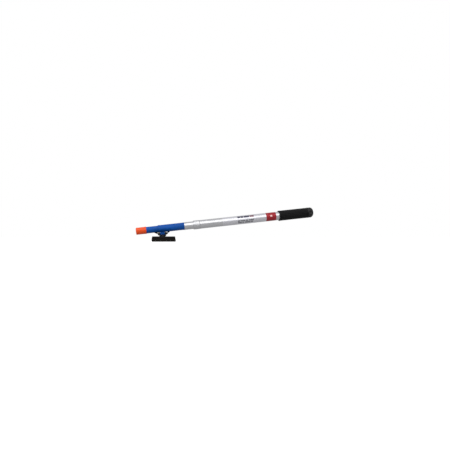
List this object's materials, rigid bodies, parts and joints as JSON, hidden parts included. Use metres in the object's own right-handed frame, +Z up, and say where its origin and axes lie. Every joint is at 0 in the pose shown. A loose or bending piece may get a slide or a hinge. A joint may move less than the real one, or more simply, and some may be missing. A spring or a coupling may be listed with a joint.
{
  "type": "pole drywall sander",
  "caption": "Drywall sander on a telescoping aluminium pole: ribbed grip, twist lock, swivel head with a capped nose, and a flat plate that clamps its sheet.",
  "frame": {"origin": "centre of the sandpaper's working face, on the surface that the plate rests on", "axes": "+X towards the grip, +Y along the sanding plate's long side, +Z up from the working face"},
  "size_m": [0.6785, 0.2308, 0.1317],
  "materials": {
    "tube_aluminium": "satin anodised",
    "collar_aluminium": "satin, knurled",
    "grip_rubber": "matte",
    "plug_plastic": "matte",
    "label_film": "printed film",
    "badge_film": "printed film",
    "bush_nylon": "natural",
    "head_blue": "semi-gloss moulding",
    "nose_blue": "semi-gloss paint",
    "cap_orange": "soft vinyl",
    "zinc_steel": "zinc plated",
    "black_steel": "black oxide",
    "yoke_black": "glass-filled nylon",
    "plate_black": "powder coat",
    "foam_black": "closed-cell foam",
    "abrasive_sheet": "silicon carbide grit",
    "nut_black": "moulded, matte"
  },
  "bodies": {
    "handle": {"outer_tube": "tube_aluminium", "grip": "grip_rubber", "tube_end_plug": "plug_plastic", "label_wrap": "label_film", "label_badge": "badge_film", "mouth_collet": "plug_plastic"},
    "collar": {"lock_collar": "collar_aluminium"},
    "slider": {"inner_tube": "tube_aluminium", "guide_bush": "bush_nylon", "inner_tube_plug": "plug_plastic", "head_barrel": "head_blue", "nose_tube": "nose_blue", "end_cap": "cap_orange", "barrel_screws": "zinc_steel", "swivel_guards": "yoke_black", "tongue_bush": "bush_nylon"},
    "yoke": {"swivel_yoke": "yoke_black", "roll_bolt": "black_steel", "roll_nut": "black_steel", "roll_washers": "zinc_steel", "pitch_bush": "bush_nylon"},
    "plate": {"hinge_bracket": "plate_black", "bracket_rivets": "zinc_steel", "pitch_bolt": "black_steel", "pitch_nut": "black_steel", "pitch_washers": "zinc_steel", "backing_plate": "plate_black", "foam_pad": "foam_black", "sandpaper": "abrasive_sheet", "clamp_studs": "zinc_steel"},
    "clamp_front": {"clamp_bar_front": "plate_black"},
    "clamp_back": {"clamp_bar_back": "plate_black"},
    "nut_front_1": {"thumb_nut_front_1": "nut_black"},
    "nut_front_2": {"thumb_nut_front_2": "nut_black"},
    "nut_back_1": {"thumb_nut_back_1": "nut_black"},
    "nut_back_2": {"thumb_nut_back_2": "nut_black"}
  },
  "joints": [
    {"name": "collar_turn", "type": "hinge", "parent": "handle", "child": "collar", "pos_m": [0.12178, 0, 0.06096], "axis": [0.9936, 0, 0.1132], "range_deg": [0, 120]},
    {"name": "pole_extend", "type": "slide", "parent": "handle", "child": "slider", "axis": [-0.9936, 0, -0.1132], "range_m": [0, 0.3]},
    {"name": "head_roll", "type": "hinge", "parent": "slider", "child": "yoke", "pos_m": [-0.00106, 0, 0.02784], "axis": [0.9936, 0, 0.1132], "range_deg": [-40, 40]},
    {"name": "head_pitch", "type": "hinge", "parent": "yoke", "child": "plate", "pos_m": [0, 0, 0.0185], "axis": [0, 1, 0], "range_deg": [-26.5, 13.5]},
    {"name": "clamp_front_lift", "type": "slide", "parent": "plate", "child": "clamp_front", "axis": [0, 0, 1], "range_m": [0, 0.0016]},
    {"name": "nut_front_1_turn", "type": "hinge", "parent": "clamp_front", "child": "nut_front_1", "pos_m": [-0.025, -0.102, 0.015], "axis": [0, 0, 1], "range_deg": [0, 720]},
    {"name": "nut_front_2_turn", "type": "hinge", "parent": "clamp_front", "child": "nut_front_2", "pos_m": [0.025, -0.102, 0.015], "axis": [0, 0, 1], "range_deg": [0, 720]},
    {"name": "clamp_back_lift", "type": "slide", "parent": "plate", "child": "clamp_back", "axis": [0, 0, 1], "range_m": [0, 0.0016]},
    {"name": "nut_back_1_turn", "type": "hinge", "parent": "clamp_back", "child": "nut_back_1", "pos_m": [-0.025, 0.102, 0.015], "axis": [0, 0, 1], "range_deg": [0, 720]},
    {"name": "nut_back_2_turn", "type": "hinge", "parent": "clamp_back", "child": "nut_back_2", "pos_m": [0.025, 0.102, 0.015], "axis": [0, 0, 1], "range_deg": [0, 720]}
  ]
}
